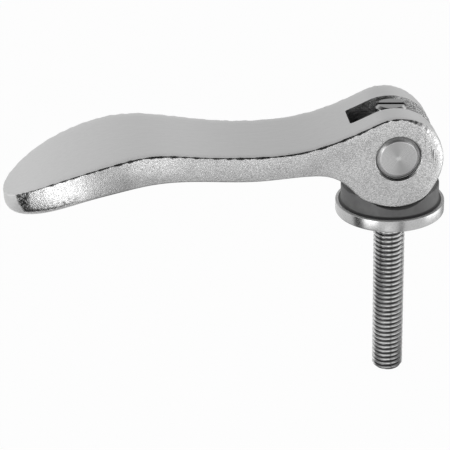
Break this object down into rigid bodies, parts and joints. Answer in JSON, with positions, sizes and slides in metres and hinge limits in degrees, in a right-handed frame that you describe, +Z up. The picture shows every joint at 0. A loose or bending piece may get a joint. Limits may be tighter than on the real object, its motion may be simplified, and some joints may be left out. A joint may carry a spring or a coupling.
{
  "type": "cam clamping lever",
  "caption": "Cast cam lever with a forked head on a cross pin, a threaded stud through it, and a plastic thrust saddle and washer that the cams press down.",
  "frame": {"origin": "on the stud's axis, in the clamping plane under the washer", "axes": "+Z up along the stud from the clamping plane to the pivot, -X along the handle, Y along the pivot pin"},
  "size_m": [0.1108, 0.0334, 0.0753],
  "materials": {
    "cast_steel": "stainless casting, ground smooth on top and left as cast on its sides",
    "pin_steel": "turned stainless",
    "stud_steel": "bright rolled thread",
    "saddle_plastic": "dark grey moulded plastic",
    "washer_steel": "turned stainless"
  },
  "bodies": {
    "stud": {"threaded_stud": "stud_steel", "pivot_pin": "pin_steel"},
    "lever": {"cam_lever": "cast_steel"},
    "saddle": {"thrust_saddle": "saddle_plastic"},
    "washer": {"steel_washer": "washer_steel"}
  },
  "joints": [
    {"name": "lever_swing", "type": "hinge", "parent": "stud", "child": "lever", "pos_m": [0, 0, 0.019], "axis": [0, 1, 0], "range_deg": [0, 90]},
    {"name": "saddle_slide", "type": "slide", "parent": "stud", "child": "saddle", "axis": [0, 0, 1], "range_m": [-0.002, 0]},
    {"name": "washer_turn", "type": "hinge", "parent": "saddle", "child": "washer", "pos_m": [0, 0, 0], "axis": [0, 0, 1], "continuous": true}
  ]
}
